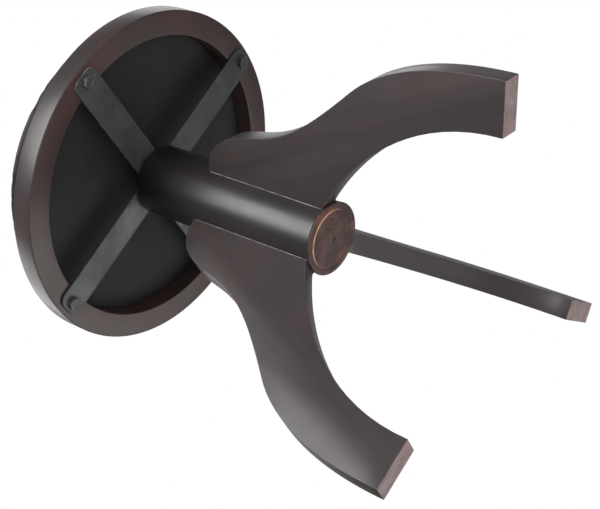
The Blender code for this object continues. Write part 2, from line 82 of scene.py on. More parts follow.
# one node in a tree, with its settings and its links or values by socket
def addNode(tree, kind, settings=None, **sockets):
    node = tree.nodes.new("ShaderNode" + kind)
    for key, value in (settings or {}).items():
        setattr(node, key, value)
    for key, value in sockets.items():
        socket = node.inputs[int(key[1:])] if key[0] == "i" and key[1:].isdigit() else node.inputs[key]
        if isinstance(value, bpy.types.NodeSocket):
            tree.links.new(value, socket)
        else:
            socket.default_value = value
    return node


def maths(tree, operation, one, two=0.0, clamp=False):
    settings = {"operation": operation, "use_clamp": clamp}
    return addNode(tree, "Math", settings, i0=one, i1=two).outputs[0]


def remap(tree, value, low, high, toLow=0.0, toHigh=1.0, smooth=True):
    kind = "SMOOTHSTEP" if smooth else "LINEAR"
    node = addNode(tree, "MapRange", {"interpolation_type": kind}, Value=value)
    for label, number in (("From Min", low), ("From Max", high), ("To Min", toLow), ("To Max", toHigh)):
        node.inputs[label].default_value = number
    return node.outputs[0]


def mixColor(tree, share, one, two, blend="MIX"):
    node = addNode(tree, "Mix", {"data_type": "RGBA", "blend_type": blend})
    for index, value in ((0, share), (6, one), (7, two)):
        if isinstance(value, bpy.types.NodeSocket):
            tree.links.new(value, node.inputs[index])
        else:
            node.inputs[index].default_value = value
    return node.outputs[2]


def noiseOf(tree, vector, scale, detail=3.0, rough=0.5):
    node = addNode(tree, "TexNoise", Vector=vector, Scale=scale, Detail=detail, Roughness=rough)
    return node.outputs["Fac"]


def stretched(tree, vector, size):
    node = addNode(tree, "VectorMath", {"operation": "MULTIPLY"}, i0=vector)
    node.inputs[1].default_value = size
    return node.outputs[0]


# shared effects
def makeWoodGroup():
    group, start, end = nodeGroup(
        "stainedWood",
        [("Grain", "v", None), ("Dark", "c", (0.03, 0.02, 0.02, 1)), ("Light", "c", (0.08, 0.05, 0.045, 1)),
         ("Red", "c", (0.1, 0.03, 0.02, 1)), ("Red Amount", "f", 0.3), ("Figure", "f", 0.5)],
        [("Color", "c"), ("Height", "f"), ("Gloss", "f")],
    )
    grain = start.outputs["Grain"]
    bend = addNode(group, "TexNoise", Vector=stretched(group, grain, (14, 14, 4)), Scale=1.0, Detail=2.0)
    offset = addNode(group, "VectorMath", {"operation": "SCALE"}, i0=bend.outputs["Color"], Scale=0.012)
    bent = addNode(group, "VectorMath", {"operation": "ADD"}, i0=grain, i1=offset.outputs[0]).outputs[0]
    fibres = noiseOf(group, stretched(group, bent, (900, 900, 22)), 1.0, 3.0, 0.6)
    bands = noiseOf(group, stretched(group, bent, (90, 90, 3.5)), 1.0, 2.0, 0.5)
    cloud = noiseOf(group, stretched(group, grain, (26, 26, 11)), 1.0, 3.0, 0.55)
    figure = maths(group, "ADD", maths(group, "MULTIPLY", fibres, 0.35),
                   maths(group, "MULTIPLY", bands, 0.65))
    figure = remap(group, figure, 0.36, 0.64)
    share = maths(group, "MULTIPLY", figure, start.outputs["Figure"])
    color = mixColor(group, share, start.outputs["Dark"], start.outputs["Light"])
    red = maths(group, "MULTIPLY", remap(group, cloud, 0.42, 0.66), start.outputs["Red Amount"])
    color = mixColor(group, red, color, start.outputs["Red"])
    pores = remap(group, noiseOf(group, stretched(group, bent, (1500, 1500, 45)), 1.0, 1.0, 0.4), 0.62, 0.7)
    height = maths(group, "SUBTRACT", maths(group, "MULTIPLY", fibres, 0.5),
                   maths(group, "MULTIPLY", pores, 0.5))
    gloss = maths(group, "ADD", maths(group, "MULTIPLY", cloud, 0.6), maths(group, "MULTIPLY", pores, 0.4))
    group.links.new(color, end.inputs["Color"])
    group.links.new(height, end.inputs["Height"])
    group.links.new(gloss, end.inputs["Gloss"])
    return group


# lightens the rounded edges in patches: edge wear, and also a painted highlight along the edges
def makeEdgeWearHighlightGroup():
    group, start, end = nodeGroup(
        "edgeWearAndPaintedHighlight",
        [("Place", "v", None), ("Radius", "f", 0.0012), ("Patches", "f", 60.0), ("Amount", "f", 0.6)],
        [("Mask", "f")],
    )
    bevel = addNode(group, "Bevel", {"samples": 6}, Radius=start.outputs["Radius"])
    flat = group.nodes.new("ShaderNodeNewGeometry")
    turn = addNode(group, "VectorMath", {"operation": "DOT_PRODUCT"}, i0=bevel.outputs[0],
                   i1=flat.outputs["Normal"])
    edge = remap(group, turn.outputs["Value"], 0.985, 0.86)
    patchy = noiseOf(group, start.outputs["Place"], start.outputs["Patches"], 4.0, 0.6)
    patchy = remap(group, patchy, 0.38, 0.62)
    mask = maths(group, "MULTIPLY", maths(group, "MULTIPLY", edge, patchy), start.outputs["Amount"], True)
    group.links.new(mask, end.inputs["Mask"])
    return group


def makeScuffGroup():
    group, start, end = nodeGroup(
        "scuffs",
        [("Place", "v", None), ("Size", "f", 30.0)],
        [("Smudge", "f"), ("Scratch", "f"), ("Dust", "f")],
    )
    place = start.outputs["Place"]
    size = start.outputs["Size"]
    smudge = remap(group, noiseOf(group, place, size, 4.0, 0.6), 0.35, 0.7)
    scratch = noiseOf(group, stretched(group, place, (40, 1500, 40)), 1.0, 1.0)
    scratch = maths(group, "MULTIPLY", remap(group, scratch, 0.66, 0.72),
                    remap(group, noiseOf(group, place, 60.0, 1.0), 0.52, 0.62))
    dust = remap(group, noiseOf(group, place, 1400.0, 2.0, 0.7), 0.66, 0.74)
    group.links.new(smudge, end.inputs["Smudge"])
    group.links.new(scratch, end.inputs["Scratch"])
    group.links.new(dust, end.inputs["Dust"])
    return group


def makeWeaveGroup():
    group, start, end = nodeGroup(
        "clothWeave",
        [("Place", "v", None), ("Threads", "f", 900.0)],
        [("Height", "f"), ("Mask", "f")],
    )
    place = start.outputs["Place"]
    waves = []
    for direction in ("X", "Y"):
        wave = addNode(group, "TexWave", {"wave_type": "BANDS", "bands_direction": direction},
                       Vector=place, Distortion=0.6, Detail=1.0)
        group.links.new(maths(group, "MULTIPLY", start.outputs["Threads"], 0.32), wave.inputs["Scale"])
        waves.append(wave.outputs["Fac"])
    height = maths(group, "MAXIMUM", waves[0], waves[1])
    uneven = noiseOf(group, place, 260.0, 3.0, 0.6)
    group.links.new(maths(group, "MULTIPLY", height, maths(group, "ADD", uneven, 0.5)), end.inputs["Height"])
    group.links.new(maths(group, "MULTIPLY", waves[0], waves[1]), end.inputs["Mask"])
    return group


woodGroup = makeWoodGroup()
edgeWearHighlightGroup = makeEdgeWearHighlightGroup()
scuffGroup = makeScuffGroup()
weaveGroup = makeWeaveGroup()


def newLook(name):
    look = bpy.data.materials.new(name)
    look.use_nodes = True
    tree = look.node_tree
    return look, tree, tree.nodes["Principled BSDF"]


def useGroup(tree, group, **values):
    node = tree.nodes.new("ShaderNodeGroup")
    node.node_tree = group
    for label, value in values.items():
        socket = node.inputs[label.replace("_", " ")]
        if isinstance(value, bpy.types.NodeSocket):
            tree.links.new(value, socket)
        else:
            socket.default_value = value
    return node.outputs


def bumped(tree, shader, height, distance, strength=1.0):
    bump = addNode(tree, "Bump", Height=height, Distance=distance, Strength=strength)
    tree.links.new(bump.outputs[0], shader.inputs["Normal"])


# dust, on the wood and on the black pieces
woodDust = (0.3, 0.27, 0.25, 1)
blackDust = (0.25, 0.24, 0.23, 1)


def woodLook(name, style):
    look, tree, shader = newLook(name)
    grain = addNode(tree, "Attribute", {"attribute_name": "grain"}).outputs["Vector"]
    wood = useGroup(tree, woodGroup, Grain=grain, Dark=style["dark"], Light=style["light"], Red=style["red"],
                    Red_Amount=style["redAmount"], Figure=style["figure"])
    wearAndHighlight = useGroup(tree, edgeWearHighlightGroup, Place=grain, Radius=style["wearRadius"], Amount=style["wearAndHighlight"])
    scuff = useGroup(tree, scuffGroup, Place=grain, Size=22.0)
    # edges lightened: wear, and a painted edge highlight
    color = mixColor(tree, wearAndHighlight["Mask"], wood["Color"], style["wornAndHighlight"])
    color = mixColor(tree, maths(tree, "MULTIPLY", scuff["Dust"], style["dust"]), color, woodDust)
    # painted shade: the colour darkens towards the seat between the given heights, standing in for the seat's
    # shadow on the post
    if "paintedShadeHeights" in style:
        height = addNode(tree, "SeparateXYZ", i0=grain).outputs[2]
        color = mixColor(tree, remap(tree, height, *style["paintedShadeHeights"], 0.0, 0.75), color, style["paintedShadeColor"])
    tree.links.new(color, shader.inputs["Base Color"])
    low, high = style["roughness"]
    rough = remap(tree, wood["Gloss"], 0.15, 0.75, low, high, False)
    rough = maths(tree, "ADD", rough, maths(tree, "MULTIPLY", scuff["Smudge"], 0.05))
    rough = maths(tree, "ADD", rough, maths(tree, "MULTIPLY", wearAndHighlight["Mask"], 0.1))
    tree.links.new(rough, shader.inputs["Roughness"])
    shader.inputs["Specular IOR Level"].default_value = style["specular"]
    shader.inputs["Coat Roughness"].default_value = style["coatRoughness"]
    coat = remap(tree, scuff["Smudge"], 0.0, 1.0, style["coat"], style["coat"] * 0.8, False)
    tree.links.new(coat, shader.inputs["Coat Weight"])
    bumped(tree, shader, wood["Height"], style["bump"])
    return look


# the ring's outer wall: a darker, greyer copy of the ring's wood, painted shade on the wall against the
# lighter underside
ringWallShaded = woodLook("ringWallPaintedShade", {
    "dark": (0.044, 0.035, 0.036, 1), "light": (0.056, 0.044, 0.045, 1), "red": (0.072, 0.043, 0.042, 1),
    "redAmount": 0.5, "figure": 0.6, "wornAndHighlight": (0.24, 0.17, 0.15, 1), "wearAndHighlight": 0.35, "wearRadius": 0.0012,
    "dust": 0.06, "roughness": (0.30, 0.38), "specular": 0.5, "coat": 0.12, "coatRoughness": 0.3,
    "bump": 0.00002,
})
darkWood = woodLook("darkStainedWood", {
    "dark": (0.047, 0.0390, 0.0405, 1), "light": (0.060, 0.049, 0.051, 1), "red": (0.074, 0.045, 0.045, 1),
    "redAmount": 0.4, "figure": 0.6, "wornAndHighlight": (0.40, 0.34, 0.33, 1), "wearAndHighlight": 0.75, "wearRadius": 0.0012,
    "dust": 0.05, "roughness": (0.29, 0.37), "specular": 0.5, "coat": 0.10, "coatRoughness": 0.3,
    "bump": 0.00002,
})
# the heights between which the post is painted darker towards the seat: painted shade under the seat
postWood = woodLook("postStainedWood", {
    "dark": (0.027, 0.024, 0.0255, 1), "light": (0.037, 0.032, 0.034, 1), "red": (0.046, 0.031, 0.031, 1),
    "redAmount": 0.3, "figure": 0.6, "wornAndHighlight": (0.30, 0.25, 0.24, 1), "wearAndHighlight": 0.5, "wearRadius": 0.0012,
    "dust": 0.05, "roughness": (0.31, 0.38), "specular": 0.55, "coat": 0.16, "coatRoughness": 0.32,
    "bump": 0.00002, "paintedShadeHeights": (0.34, 0.43), "paintedShadeColor": (0.006, 0.0055, 0.006, 1),
})
ringWood = woodLook("ringStainedWood", {
    "dark": (0.056, 0.036, 0.035, 1), "light": (0.072, 0.045, 0.043, 1), "red": (0.096, 0.045, 0.041, 1),
    "redAmount": 0.6, "figure": 0.6, "wornAndHighlight": (0.24, 0.17, 0.15, 1), "wearAndHighlight": 0.35, "wearRadius": 0.0012,
    "dust": 0.06, "roughness": (0.31, 0.39), "specular": 0.45, "coat": 0.08, "coatRoughness": 0.3,
    "bump": 0.00002,
})
capWood = woodLook("capWood", {
    "dark": (0.046, 0.028, 0.027, 1), "light": (0.088, 0.052, 0.048, 1), "red": (0.170, 0.075, 0.055, 1),
    "redAmount": 0.75, "figure": 0.9, "wornAndHighlight": (0.22, 0.135, 0.13, 1), "wearAndHighlight": 0.5, "wearRadius": 0.0010,
    "dust": 0.15, "roughness": (0.46, 0.64), "specular": 0.32, "coat": 0.0, "coatRoughness": 0.35,
    "bump": 0.00004,
})
soleWood = woodLook("bareSole", {
    "dark": (0.22, 0.165, 0.160, 1), "light": (0.33, 0.255, 0.25, 1), "red": (0.30, 0.20, 0.18, 1),
    "redAmount": 0.5, "figure": 0.9, "wornAndHighlight": (0.36, 0.29, 0.27, 1), "wearAndHighlight": 0.3, "wearRadius": 0.0010,
    "dust": 0.3, "roughness": (0.65, 0.85), "specular": 0.3, "coat": 0.0, "coatRoughness": 0.5,
    "bump": 0.00006,
})


# the groove's edge: bright orange painted on one side only, a painted highlight on the side towards the key
# light
def grooveHighlightLook(name, style):
    look, tree, shader = newLook(name)
    place = addNode(tree, "TexCoord").outputs["Object"]
    centred = addNode(tree, "VectorMath", {"operation": "SUBTRACT"}, i0=place)
    centred.inputs[1].default_value = (0, axisY, 0)
    across = addNode(tree, "SeparateXYZ", i0=centred.outputs[0])
    turn = radians(style["side"])
    along = maths(tree, "ADD", maths(tree, "MULTIPLY", across.outputs[0], cos(turn)),
                  maths(tree, "MULTIPLY", across.outputs[1], sin(turn)))
    side = remap(tree, along, *style["fade"])
    patches = remap(tree, noiseOf(tree, place, 130.0, 3.0, 0.6), 0.25, 0.55, 0.45, 1.0)
    color = mixColor(tree, maths(tree, "MULTIPLY", side, patches), style["dark"], style["bareAndHighlight"])
    tree.links.new(color, shader.inputs["Base Color"])
    tree.links.new(remap(tree, patches, 0.0, 1.0, 0.55, 0.38, False), shader.inputs["Roughness"])
    bumped(tree, shader, patches, 0.00003)
    return look


# bright orange on the groove's side towards the key light: a painted highlight
grooveHighlight = grooveHighlightLook("groovePaintedHighlight", {
    "side": -78.0, "fade": (-0.004, 0.033), "dark": (0.070, 0.038, 0.036, 1), "bareAndHighlight": (0.78, 0.38, 0.23, 1),
})


def steelLook(name, style):
    look, tree, shader = newLook(name)
    place = addNode(tree, "TexCoord").outputs["Object"]
    scuff = useGroup(tree, scuffGroup, Place=place, Size=style["size"])
    wearAndHighlight = useGroup(tree, edgeWearHighlightGroup, Place=place, Radius=0.0007, Patches=90.0, Amount=style["wearAndHighlight"])
    color = mixColor(tree, scuff["Smudge"], style["dark"], style["light"])
    color = mixColor(tree, maths(tree, "MULTIPLY", scuff["Scratch"], 0.25), color, style["bareAndHighlight"])
    # edges lightened: wear, and a painted edge highlight
    color = mixColor(tree, wearAndHighlight["Mask"], color, style["bareAndHighlight"])
    tree.links.new(color, shader.inputs["Base Color"])
    low, high = style["roughness"]
    tree.links.new(remap(tree, scuff["Smudge"], 0.0, 1.0, high, low, False), shader.inputs["Roughness"])
    tree.links.new(maths(tree, "ADD", style["metallic"], maths(tree, "MULTIPLY", wearAndHighlight["Mask"], 0.4), True),
                   shader.inputs["Metallic"])
    grains = noiseOf(tree, place, style["grains"], 3.0, 0.6)
    height = maths(tree, "SUBTRACT", grains, maths(tree, "MULTIPLY", scuff["Scratch"], 0.3))
    bumped(tree, shader, height, style["bump"])
    return look


blackSteel = steelLook("blackSteel", {
    "dark": (0.050, 0.053, 0.055, 1), "light": (0.082, 0.085, 0.087, 1), "bareAndHighlight": (0.62, 0.58, 0.53, 1),
    "wearAndHighlight": 1.0, "size": 26.0, "roughness": (0.34, 0.48), "metallic": 0.15, "grains": 900.0, "bump": 0.00003,
})
# light steel for the lower strap's side faces: a painted edge highlight
strapEdgeHighlight = steelLook("strapEdgePaintedHighlight", {
    "dark": (0.10, 0.098, 0.095, 1), "light": (0.40, 0.385, 0.37, 1), "bareAndHighlight": (0.7, 0.68, 0.64, 1),
    "wearAndHighlight": 0.8, "size": 55.0, "roughness": (0.30, 0.42), "metallic": 0.35, "grains": 900.0, "bump": 0.00002,
})
zincSteel = steelLook("zincSteel", {
    "dark": (0.34, 0.34, 0.33, 1), "light": (0.56, 0.55, 0.53, 1), "bareAndHighlight": (0.7, 0.69, 0.66, 1), "wearAndHighlight": 0.5,
    "size": 120.0, "roughness": (0.25, 0.42), "metallic": 0.9, "grains": 700.0, "bump": 0.00002,
})


def plainLook(name, style):
    look, tree, shader = newLook(name)
    place = addNode(tree, "TexCoord").outputs["Object"]
    cloud = remap(tree, noiseOf(tree, place, style["size"], 4.0, 0.6), 0.35, 0.65)
    speck = noiseOf(tree, place, style["speck"], 3.0, 0.6)
    color = mixColor(tree, cloud, style["dark"], style["light"])
    tree.links.new(color, shader.inputs["Base Color"])
    low, high = style["roughness"]
    tree.links.new(remap(tree, speck, 0.3, 0.7, low, high, False), shader.inputs["Roughness"])
    bumped(tree, shader, speck, style["bump"])
    return look


plywood = plainLook("plywood", {"dark": (0.42, 0.30, 0.18, 1), "light": (0.58, 0.44, 0.28, 1), "size": 34.0,
                                "speck": 700.0, "roughness": (0.6, 0.8), "bump": 0.00008})
beech = plainLook("beech", {"dark": (0.48, 0.33, 0.20, 1), "light": (0.60, 0.44, 0.29, 1), "size": 160.0,
                            "speck": 1400.0, "roughness": (0.5, 0.65), "bump": 0.00004})
nylonLook = plainLook("nylon", {"dark": (0.60, 0.59, 0.55, 1), "light": (0.74, 0.73, 0.69, 1), "size": 60.0,
                                "speck": 1200.0, "roughness": (0.4, 0.55), "bump": 0.00003})
# light grey for the seam beads: a painted highlight
seamHighlightLook = plainLook("seamPaintedHighlight", {"dark": (0.20, 0.19, 0.19, 1), "light": (0.60, 0.57, 0.56, 1),
                                    "size": 90.0, "speck": 1800.0, "roughness": (0.25, 0.4), "bump": 0.00002})
# near black for the cap's marks: painted shade
prickShadeLook = plainLook("prickPaintedShade", {"dark": (0.008, 0.006, 0.006, 1), "light": (0.016, 0.011, 0.010, 1),
                                   "size": 900.0, "speck": 2500.0, "roughness": (0.7, 0.9), "bump": 0.00002})


def clothLook(name, style):
    look, tree, shader = newLook(name)
    place = addNode(tree, "TexCoord").outputs["Object"]
    weave = useGroup(tree, weaveGroup, Place=place, Threads=style["threads"])
    cloud = remap(tree, noiseOf(tree, place, 14.0, 4.0, 0.55), 0.35, 0.65)
    color = mixColor(tree, cloud, style["dark"], style["light"])
    threadShare = maths(tree, "MULTIPLY", weave["Mask"], style["threadShow"])
    color = mixColor(tree, threadShare, color, style["thread"])
    lint = remap(tree, noiseOf(tree, place, 900.0, 2.0, 0.7), 0.70, 0.76)
    color = mixColor(tree, maths(tree, "MULTIPLY", lint, style["lint"]), color, blackDust)
    tree.links.new(color, shader.inputs["Base Color"])
    low, high = style["roughness"]
    tree.links.new(remap(tree, weave["Height"], 0.0, 1.2, high, low, False), shader.inputs["Roughness"])
    shader.inputs["Sheen Weight"].default_value = style["sheen"]
    shader.inputs["Sheen Roughness"].default_value = 0.5
    shader.inputs["Specular IOR Level"].default_value = style["specular"]
    bumped(tree, shader, weave["Height"], style["bump"])
    return look


panelCloth = clothLook("blackPanelCloth", {
    "dark": (0.0145, 0.0135, 0.0140, 1), "light": (0.0215, 0.020, 0.0205, 1),
    "thread": (0.025, 0.024, 0.025, 1), "threadShow": 0.3, "lint": 0.15, "threads": 1300.0,
    "roughness": (0.6, 0.85), "sheen": 0.05, "specular": 0.35, "bump": 0.00008,
})


def vinylLook(name, style):
    look, tree, shader = newLook(name)
    place = addNode(tree, "TexCoord").outputs["Object"]
    cells = addNode(tree, "TexVoronoi", {"feature": "DISTANCE_TO_EDGE"}, Vector=place, Scale=style["cells"])
    crease = remap(tree, cells.outputs["Distance"], 0.0, 0.16)
    fine = noiseOf(tree, place, style["cells"] * 2.6, 3.0, 0.6)
    height = maths(tree, "ADD", maths(tree, "MULTIPLY", crease, 0.7), maths(tree, "MULTIPLY", fine, 0.3))
    cloud = remap(tree, noiseOf(tree, place, 12.0, 4.0, 0.55), 0.35, 0.65)
    color = mixColor(tree, cloud, style["dark"], style["light"])
    # the grain's creases are painted darker: painted shade in the creases
    color = mixColor(tree, crease, style["dark"], color)
    scuff = useGroup(tree, scuffGroup, Place=place, Size=16.0)
    color = mixColor(tree, maths(tree, "MULTIPLY", scuff["Dust"], style["dust"]), color, blackDust)
    tree.links.new(color, shader.inputs["Base Color"])
    low, high = style["roughness"]
    rough = remap(tree, scuff["Smudge"], 0.0, 1.0, low, high, False)
    rough = maths(tree, "SUBTRACT", rough, maths(tree, "MULTIPLY", crease, 0.06))
    tree.links.new(rough, shader.inputs["Roughness"])
    shader.inputs["Specular IOR Level"].default_value = style["specular"]
    bumped(tree, shader, height, style["bump"])
    return look


seatVinyl = vinylLook("blackSeatVinyl", {
    "dark": (0.010, 0.0095, 0.010, 1), "light": (0.020, 0.019, 0.0195, 1), "cells": 620.0, "dust": 0.12,
    "roughness": (0.46, 0.62), "specular": 0.4, "bump": 0.00016,
})
print("materials: made")


# shape helpers
# rounds each corner of an outline of (x, y, size)
def eased(points, steps=4):
    made = []
    for i, (x, y, size) in enumerate(points):
        here = Vector((x, y))
        if not size:
            made.append((x, y))
            continue
        start = here + (Vector(points[i - 1][:2]) - here).normalized() * size
        end = here + (Vector(points[(i + 1) % len(points)][:2]) - here).normalized() * size
        for k in range(steps + 1):
            t = k / steps
            made.append(tuple(start * (1 - t) ** 2 + here * 2 * t * (1 - t) + end * t * t))
    return made


# spins an outline of (radius, height) about the post's axis
def turned(profile, steps, closed=True):
    bm = bmesh.new()
    rows = []
    for k in range(steps):
        turn = tau * k / steps
        rows.append([bm.verts.new((r * cos(turn), axisY + r * sin(turn), z)) for r, z in profile])
    count = len(profile)
    for k in range(steps):
        one, two = rows[k], rows[(k + 1) % steps]
        for i in range(count if closed else count - 1):
            j = (i + 1) % count
            bm.faces.new((one[i], two[i], two[j], one[j]))
    bmesh.ops.remove_doubles(bm, verts=bm.verts, dist=0.000001)
    bmesh.ops.recalc_face_normals(bm, faces=bm.faces)
    return bm


# a flat outline given a thickness, with its sharp edges rounded
def plank(points, low, high, edge, segments=3):
    bm = bmesh.new()
    face = bm.faces.new([bm.verts.new((x, y, low)) for x, y in points])
    swept = bmesh.ops.extrude_face_region(bm, geom=[face])
    moved = [v for v in swept["geom"] if isinstance(v, bmesh.types.BMVert)]
    bmesh.ops.translate(bm, vec=(0, 0, high - low), verts=moved)
    bmesh.ops.recalc_face_normals(bm, faces=bm.faces)
    sharp = [e for e in bm.edges if e.is_manifold and e.calc_face_angle() > radians(40)]
    bmesh.ops.bevel(bm, geom=sharp, offset=edge, segments=segments, profile=0.5, affect="EDGES",
                    clamp_overlap=True)
    return bm


def newPiece(name, bm, body, look, nodes, smooth=30):
    mesh = bpy.data.meshes.new(name)
    bm.to_mesh(mesh)
    bm.free()
    mesh.shade_smooth()
    mesh.set_sharp_from_angle(angle=radians(smooth))
    piece = bpy.data.objects.new(name, mesh)
    scene.collection.objects.link(piece)
    mesh.materials.append(look)
    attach(piece, body)
    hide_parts(*nodes)
    return piece


# where each face corner lies in the board it was cut from, its z along the grain
def setGrain(piece, place):
    mesh = piece.data
    layer = mesh.attributes.new("grain", "FLOAT_VECTOR", "CORNER")
    for polygon in mesh.polygons:
        centre = polygon.center.copy()
        for loop in polygon.loop_indices:
            layer.data[loop].vector = place(mesh.vertices[mesh.loops[loop].vertex_index].co, centre)


# seat ring
ringStyle = {"edge": 0.0017, "width": 0.0276, "steps": 288}


def makeRing():
    edge = ringStyle["edge"]
    inner = ringRadius - ringStyle["width"]
    profile = eased([
        (ringRadius, ringHigh.z, edge), (ringRadius, ringLow.z, edge),
        (inner, ringLow.z, edge * 0.6), (inner, ringHigh.z, edge * 0.4),
    ])
    ring = newPiece("ring", turned(profile, ringStyle["steps"]), "seat", ringWood, ["seat_ring"])

    # the outer wall's faces take the darker copy: painted shade
    ring.data.materials.append(ringWallShaded)
    for polygon in ring.data.polygons:
        if hypot(polygon.center.x, polygon.center.y - axisY) > ringRadius - edge * 0.6:
            polygon.material_index = 1

    # the grain runs round the ring, with its one joint at the back
    def place(point, centre):
        turn = atan2(centre.x, axisY - centre.y)
        own = atan2(point.x, axisY - point.y)
        if own - turn > pi:
            own -= tau
        elif turn - own > pi:
            own += tau
        return (hypot(point.x, point.y - axisY) + 0.4, point.z, own * ringRadius)

    setGrain(ring, place)


# post and its cap
postStyle = {"edge": 0.0014, "steps": 160, "bore": 0.0062}
capStyle = {"plate": 0.0032, "rim": 0.0015, "grooveIn": 0.0066, "grooveWidth": 0.0011, "grooveDepth": 0.0009,
            "dish": 0.0005, "steps": 192, "prickDepth": 0.0004,
            # across, towards the back, and the size of each mark
            "pricks": ((0.001, 0.003, 0.0015), (-0.001, 0.002, 0.0013),
                       (0.009, -0.011, 0.0011), (0.020, -0.013, 0.0010))}


def makePost():
    edge = postStyle["edge"]
    bore = postStyle["bore"]
    profile = eased([
        (bore, postHigh.z, 0.0006), (postRadius, postHigh.z, edge),
        (postRadius, postLow.z, 0.0004), (bore, postLow.z, 0.0004),
    ])
    post = newPiece("post_turned", turned(profile, postStyle["steps"]), "base", postWood,
                    ["post"])
    setGrain(post, lambda point, centre: (point.x + 0.31, point.y + 0.12, point.z))


def makeCap():
    face, plate = capLow.z, capStyle["plate"]
    rim = capStyle["rim"]
    groove = capRadius - capStyle["grooveIn"]
    half = capStyle["grooveWidth"] / 2
    dish, sunk = face + capStyle["dish"], face + capStyle["grooveDepth"]
    edge = eased([
        (0.0, face + plate, 0), (capRadius, face + plate, rim * 0.7), (capRadius, face, rim),
        (groove + half * 2.2, face, 0.0006), (groove + half * 0.6, sunk, 0.0004),
        (groove - half * 0.6, sunk, 0.0004), (groove - half * 2.2, dish - 0.0004, 0.0006),
        (groove * 0.72, dish, 0.002), (groove * 0.3, dish - 0.0003, 0.001), (0.0, dish - 0.0003, 0),
    ])
    bm = turned(edge, capStyle["steps"], False)
    cap = newPiece("cap", bm, "base", capWood, ["post_cap"], 40)
    cap.data.materials.append(grooveHighlight)
    # the groove's inner side carries the painted highlight
    for polygon in cap.data.polygons:
        away = hypot(polygon.center.x, polygon.center.y - axisY)
        if polygon.center.z < face + plate / 2 and groove - half * 2.6 < away < groove - half * 0.7:
            polygon.material_index = 1
    setGrain(cap, lambda point, centre: (point.x + 0.2, point.y - axisY, point.z * 2))


# the lathe centre's marks: small cones sunk in the cap's face, coloured near black, painted shade inside the
# marks
def makePricks():
    depth = capStyle["prickDepth"]
    bm = bmesh.new()
    for x, y, size in capStyle["pricks"]:
        place = Matrix.Translation((x, axisY + y, capLow.z + capStyle["dish"] - depth))
        bmesh.ops.create_cone(bm, cap_ends=True, segments=20, radius1=size, radius2=size * 0.3, depth=depth,
                              matrix=place)
    pricks = bpy.data.meshes.new("cap_marks")
    bm.to_mesh(pricks)
    bm.free()
    pricks.materials.append(prickShadeLook)
    marks = bpy.data.objects.new("cap_marks", pricks)
    scene.collection.objects.link(marks)
    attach(marks, "base")


# legs
legStyle = {"edge": 0.0013, "grainLean": 24.0, "directions": {"back": 90, "left": 210, "right": 330},
            "foot": 0.0546, "letIn": 0.006, "overCap": 0.0038, "archGap": 0.0012}
# the outline's bends, as shares: out along the foot's reach, and up and handles (before, after) by the
# let-in height at the neck, and by the height below it at the waist, toe and heel. The shoulder's
# handle is a share of the reach, the arch's is in metres, and lean is in degrees from straight down.
legBends = {
    "shoulder": {"after": 0.200},
    "neck": {"out": 0.290, "up": 0.602, "lean": 10.8, "before": 0.193, "after": 0.282},
    "waist": {"out": 0.725, "up": 0.832, "lean": 43.1, "before": 0.386, "after": 0.273},
    "toe": {"before": 0.313},
    "heel": {"after": 0.560},
    "arch": {"lean": 60, "before": 0.045},
}


# a cubic curve through knots of (point, handle before, handle after)
def curved(knots, steps=20):
    made = []
    for i, (place, _, after) in enumerate(knots):
        end, before, _ = knots[(i + 1) % len(knots)]
        if after is None or before is None:
            made.append(place)
            continue
        a, b, c, d = (Vector(p) for p in (place, after, before, end))
        for k in range(steps):
            t = k / steps
            early = a * (1 - t) ** 3 + b * 3 * t * (1 - t) ** 2
            made.append(tuple(early + c * 3 * t * t * (1 - t) + d * t ** 3))
    return made


def legOutline():
    # a point some way from another, along a lean from straight down
    def away(place, lean, reach):
        return (place[0] + reach * sin(radians(lean)), place[1] - reach * cos(radians(lean)))

    bends = legBends
    top, low = legHigh.z, capLow.z + legStyle["overCap"]
    outer = legHigh.y - axisY
    inner = outer - legStyle["foot"]
    chord = sqrt(postRadius ** 2 - (legThickness / 2) ** 2)
    slot = chord - legStyle["letIn"]
    height, foot = top - low, outer - chord
    shoulder = (chord, top)
    neck = (chord + bends["neck"]["out"] * foot, low + bends["neck"]["up"] * height)
    waist = (chord + bends["waist"]["out"] * foot, low * bends["waist"]["up"])
    arch = (capRadius + legStyle["archGap"], low)
    third = legStyle["letIn"] / 3
    neckLean, waistLean, archLean = (bends[bend]["lean"] for bend in ("neck", "waist", "arch"))
    # (point, handle before, handle after), with None beside a straight stretch
    knots = [
        ((slot, top), None, (slot + third, top)),
        (shoulder, (chord - third, top), away(shoulder, 90, bends["shoulder"]["after"] * foot)),
        (neck, away(neck, neckLean, -bends["neck"]["before"] * height),
         away(neck, neckLean, bends["neck"]["after"] * height)),
        (waist, away(waist, waistLean, -bends["waist"]["before"] * low),
         away(waist, waistLean, bends["waist"]["after"] * low)),
        ((outer, 0.0), (outer, bends["toe"]["before"] * low), None),
        ((inner, 0.0), None, (inner, bends["heel"]["after"] * low)),
        (arch, away(arch, archLean, bends["arch"]["before"]), None),
        ((slot, low), None, None),
    ]
    return curved(knots)


def makeLeg(name, direction):
    bm = plank(legOutline(), -legThickness / 2, legThickness / 2, legStyle["edge"])
    turn = Matrix.Translation(axis) @ Matrix.Rotation(radians(direction), 4, "Z")
    turn = turn @ Matrix.Rotation(pi / 2, 4, "X")
    bm.transform(turn)
    leg = newPiece("plank_" + name, bm, "base", darkWood, ["leg_" + name], 32)
    leg.data.materials.append(soleWood)
    for polygon in leg.data.polygons:
        if polygon.normal.z < -0.95 and polygon.center.z < 0.001:
            polygon.material_index = 1
    back = turn.inverted()
    lean = Matrix.Rotation(radians(-legStyle["grainLean"]), 3, "Z")

    # each leg is cut from another part of the board
    def place(point, centre):
        local = lean @ (back @ point)
        return (local.x + direction * 0.01, local.z + direction * 0.003, local.y)

    setGrain(leg, place)


# a bead of hardened finish along each side of the leg, where it meets the post, coloured light grey: a
# painted highlight along the seam
seamStyle = {"width": 0.00055, "overCap": 0.0045, "clear": 0.003, "rows": 60}


